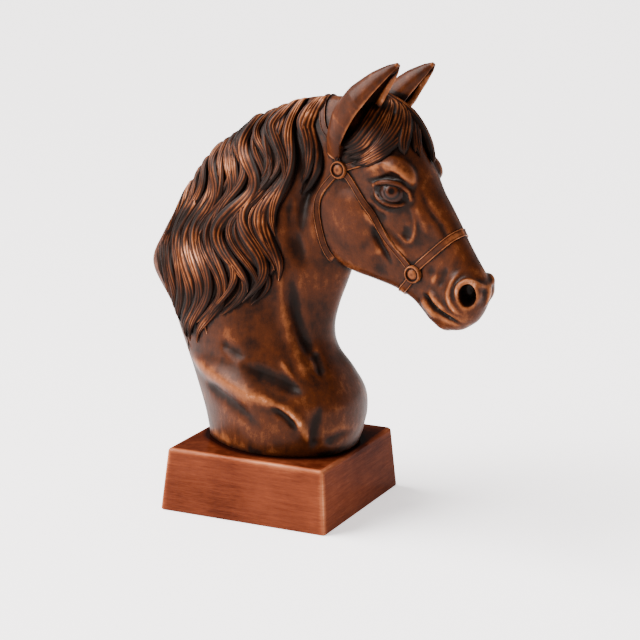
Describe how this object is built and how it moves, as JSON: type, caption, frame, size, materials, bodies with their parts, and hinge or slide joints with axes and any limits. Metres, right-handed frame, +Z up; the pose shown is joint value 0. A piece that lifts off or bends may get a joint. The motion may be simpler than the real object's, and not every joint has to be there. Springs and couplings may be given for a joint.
{
  "type": "horse head sculpture",
  "caption": "Carved horse head and arched neck with a waved mane, forelock and bridle, on a square tapered plinth.",
  "frame": {"origin": "middle of the plinth's flat underside, which is what the sculpture stands on", "axes": "+Z up, +X the way the horse's chest faces, +Y to the horse's left; the head is turned about 12 degrees towards -Y"},
  "size_m": [0.2493, 0.1198, 0.3007],
  "materials": {
    "carved_wood": "dark brown stain, rubbed back to copper brown on the raised edges, semi-gloss",
    "plinth_wood": "reddish brown satin lacquer with fine straight grain"
  },
  "bodies": {
    "root": {"horse_bust": "carved_wood", "plinth": "plinth_wood"}
  },
  "joints": []
}
